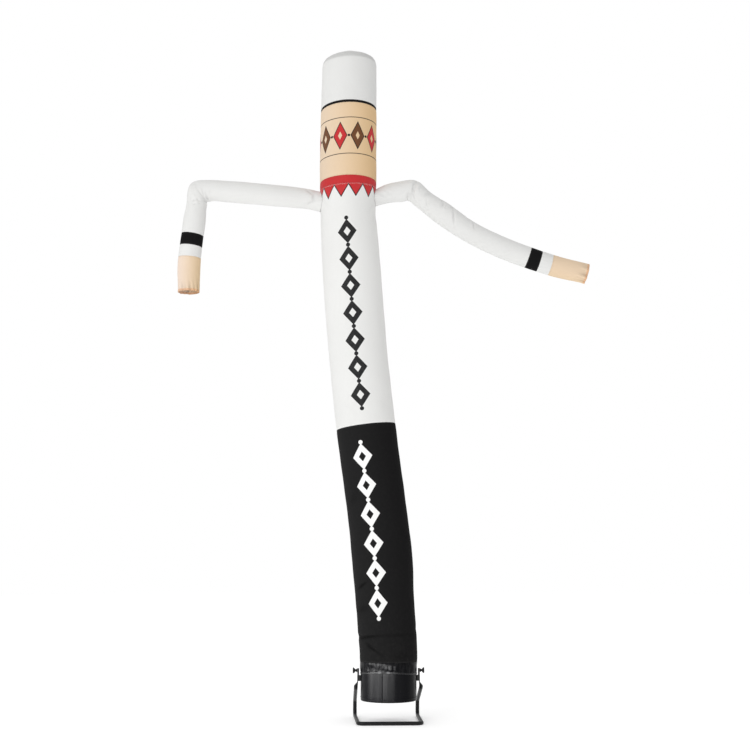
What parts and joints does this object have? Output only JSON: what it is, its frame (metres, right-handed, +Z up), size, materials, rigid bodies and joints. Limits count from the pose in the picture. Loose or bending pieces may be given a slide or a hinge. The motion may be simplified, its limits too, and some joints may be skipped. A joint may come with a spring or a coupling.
{
  "type": "inflatable air dancer",
  "caption": "Tall inflatable tube dancer: a black and white cloth trunk with a tan head, a tall round hat and long bent arms, on a round blower that tilts in a low bent tube stand.",
  "frame": {"origin": "on the floor under the middle of the blower's drum, near the middle of the whole part's footprint", "axes": "+Z up, the dancer's front towards -Y, its arms along X; the blower tilts about the line along X at z 0.385"},
  "size_m": [3.3304, 0.5532, 5.381],
  "materials": {
    "stand_steel": "satin black powder coat",
    "drum_steel": "gloss black paint",
    "guard_steel": "satin black",
    "bracket_steel": "satin black",
    "knob_plastic": "fine matt",
    "coated_black_cloth": "glossy coated cloth",
    "strap_webbing": "woven webbing",
    "buckle_steel": "worn nickel plate",
    "black_cloth": "matt ripstop nylon",
    "white_cloth": "matt ripstop nylon",
    "red_cloth": "matt printed nylon",
    "tan_cloth": "matt printed nylon"
  },
  "bodies": {
    "stand": {"stand_frame": "stand_steel"},
    "dancer": {"blower_drum": "drum_steel", "intake_guard": "guard_steel", "left_bracket": "bracket_steel", "right_bracket": "bracket_steel", "fan_cuff": "coated_black_cloth", "cinch_strap": "strap_webbing", "strap_buckle": "buckle_steel", "lower_panel": "black_cloth", "torso_panel": "white_cloth", "neck_band": "red_cloth", "head_panel": "tan_cloth", "hat_tape": "black_cloth", "hat_side": "white_cloth", "hat_crown": "white_cloth", "left_sleeve": "white_cloth", "left_armband": "black_cloth", "left_wrist": "white_cloth", "left_hand": "tan_cloth", "right_sleeve": "white_cloth", "right_armband": "black_cloth", "right_wrist": "white_cloth", "right_hand": "tan_cloth"},
    "knob_left": {"left_knob": "knob_plastic"},
    "knob_right": {"right_knob": "knob_plastic"}
  },
  "joints": [
    {"name": "tilt", "type": "hinge", "parent": "stand", "child": "dancer", "pos_m": [0, 0, 0.385], "axis": [1, 0, 0], "range_deg": [-25, 25]},
    {"name": "left_knob_turn", "type": "hinge", "parent": "dancer", "child": "knob_left", "pos_m": [-0.2433, 0, 0.385], "axis": [-1, 0, 0], "continuous": true},
    {"name": "right_knob_turn", "type": "hinge", "parent": "dancer", "child": "knob_right", "pos_m": [0.2433, 0, 0.385], "axis": [1, 0, 0], "continuous": true}
  ]
}
